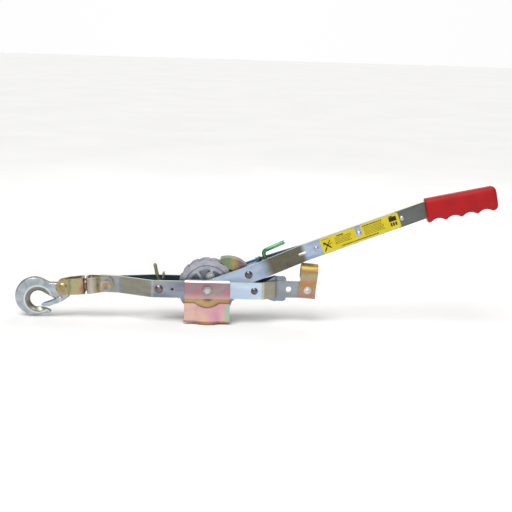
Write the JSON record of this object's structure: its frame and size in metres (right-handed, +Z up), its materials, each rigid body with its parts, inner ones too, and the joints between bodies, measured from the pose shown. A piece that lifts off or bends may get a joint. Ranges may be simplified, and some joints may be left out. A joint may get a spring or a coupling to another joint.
{
  "type": "come along winch",
  "caption": "Hand lever rope puller: strap frame with ratchet rope wheel, lever handle with moulded grip, two pawls and a swivel hook with latch.",
  "frame": {"origin": "centre of the rope wheel's axle, midway between the two frame straps", "axes": "+X along the frame from the hook towards the grip, +Y to the far side, +Z up"},
  "size_m": [0.7242, 0.072, 0.216],
  "materials": {
    "strap": "zinc plated flat bar, satin, bluish",
    "guard": "yellow chromate over zinc, iridescent pink and gold",
    "bracket": "yellow chromate over zinc, satin",
    "guide": "yellow chromate over zinc, gold and copper",
    "fastener": "bright zinc plated steel",
    "pin": "dull domed rivet heads",
    "gusset": "zinc plated sheet, bluish grey",
    "wheel": "as-cast aluminium, slightly rough",
    "bush": "plain bearing bush",
    "pawl": "iridescent chromate, green to purple",
    "lever": "green chromate rod",
    "trigger": "olive chromate rod",
    "spring": "spring wire",
    "hook": "forged, bright zinc plated",
    "latch": "zinc plated sheet",
    "grip": "moulded red vinyl, semi-gloss",
    "label": null
  },
  "bodies": {
    "frame": {"frame_strap_near": "strap", "frame_strap_far": "strap", "rear_gusset_near": "gusset", "rear_gusset_far": "gusset", "rope_guard_near": "guard", "rope_guard_far": "guard", "axle": "fastener", "axle_nuts": "fastener", "axle_spacers": "fastener", "holding_pawl_pin": "pin", "holding_pawl_spacers": "fastener", "rear_rivet": "pin", "rear_spacer": "fastener", "nose_bolt": "fastener", "nose_washer": "fastener", "nose_nut": "fastener", "guide_rivet": "fastener"},
    "rope_guide": {"rope_guide": "guide"},
    "wheel": {"wheel_near_half": "wheel", "wheel_far_half": "wheel", "wheel_bush": "bush", "wheel_rivets": "fastener"},
    "handle": {"handle_strap_near": "strap", "handle_strap_far": "strap", "handle_rivets": "fastener", "handle_label": "label", "grip": "grip", "pawl_rivet": "pin", "pawl_spacers": "fastener"},
    "drive_pawl": {"drive_pawl": "pawl", "drive_pawl_lever": "lever", "drive_pawl_spring": "spring"},
    "holding_pawl": {"holding_pawl": "pawl", "release_trigger": "trigger", "holding_pawl_spring": "spring"},
    "frame_bracket": {"frame_bracket": "bracket"},
    "hook_bracket": {"hook_bracket": "bracket", "swivel_rivet": "fastener", "swivel_washer": "pin", "hook_pin": "bracket"},
    "hook": {"hook": "hook", "latch_rivet": "fastener"},
    "latch": {"latch": "latch"}
  },
  "joints": [
    {"name": "handle_swing", "type": "hinge", "parent": "frame", "child": "handle", "pos_m": [0, 0, 0], "axis": [0, -1, 0], "range_deg": [0, 92]},
    {"name": "wheel_spin", "type": "hinge", "parent": "frame", "child": "wheel", "pos_m": [0, 0, 0], "axis": [0, -1, 0], "continuous": true},
    {"name": "drive_pawl_lift", "type": "hinge", "parent": "handle", "child": "drive_pawl", "pos_m": [0.0613, 0, 0.0239], "axis": [0, 1, 0], "range_deg": [0, 16], "stiffness_Nm_per_rad": 0.5, "springref_deg": -17.19},
    {"name": "holding_pawl_lift", "type": "hinge", "parent": "frame", "child": "holding_pawl", "pos_m": [-0.072, 0, 0], "axis": [0, 1, 0], "range_deg": [0, 25], "stiffness_Nm_per_rad": 0.3, "springref_deg": -17.19},
    {"name": "bracket_pivot", "type": "hinge", "parent": "frame", "child": "frame_bracket", "pos_m": [-0.1526, 0, 0.00191], "axis": [0, -1, 0], "range_deg": [-60, 60]},
    {"name": "hook_swivel", "type": "hinge", "parent": "frame_bracket", "child": "hook_bracket", "pos_m": [-0.18247, 0, -0.00091], "axis": [-0.9956, 0, -0.0941], "continuous": true},
    {"name": "hook_pivot", "type": "hinge", "parent": "hook_bracket", "child": "hook", "pos_m": [-0.21662, 0, -0.00414], "axis": [0, -1, 0], "range_deg": [-35, 35]},
    {"name": "latch_pivot", "type": "hinge", "parent": "hook", "child": "latch", "pos_m": [-0.22112, 0, -0.02254], "axis": [0, 1, 0], "range_deg": [0, 20], "stiffness_Nm_per_rad": 0.02, "springref_deg": -17.19},
    {"name": "guide_tilt", "type": "hinge", "parent": "frame", "child": "rope_guide", "pos_m": [0.151, -0.007, 0], "axis": [0, 1, 0], "range_deg": [0, 8]}
  ]
}
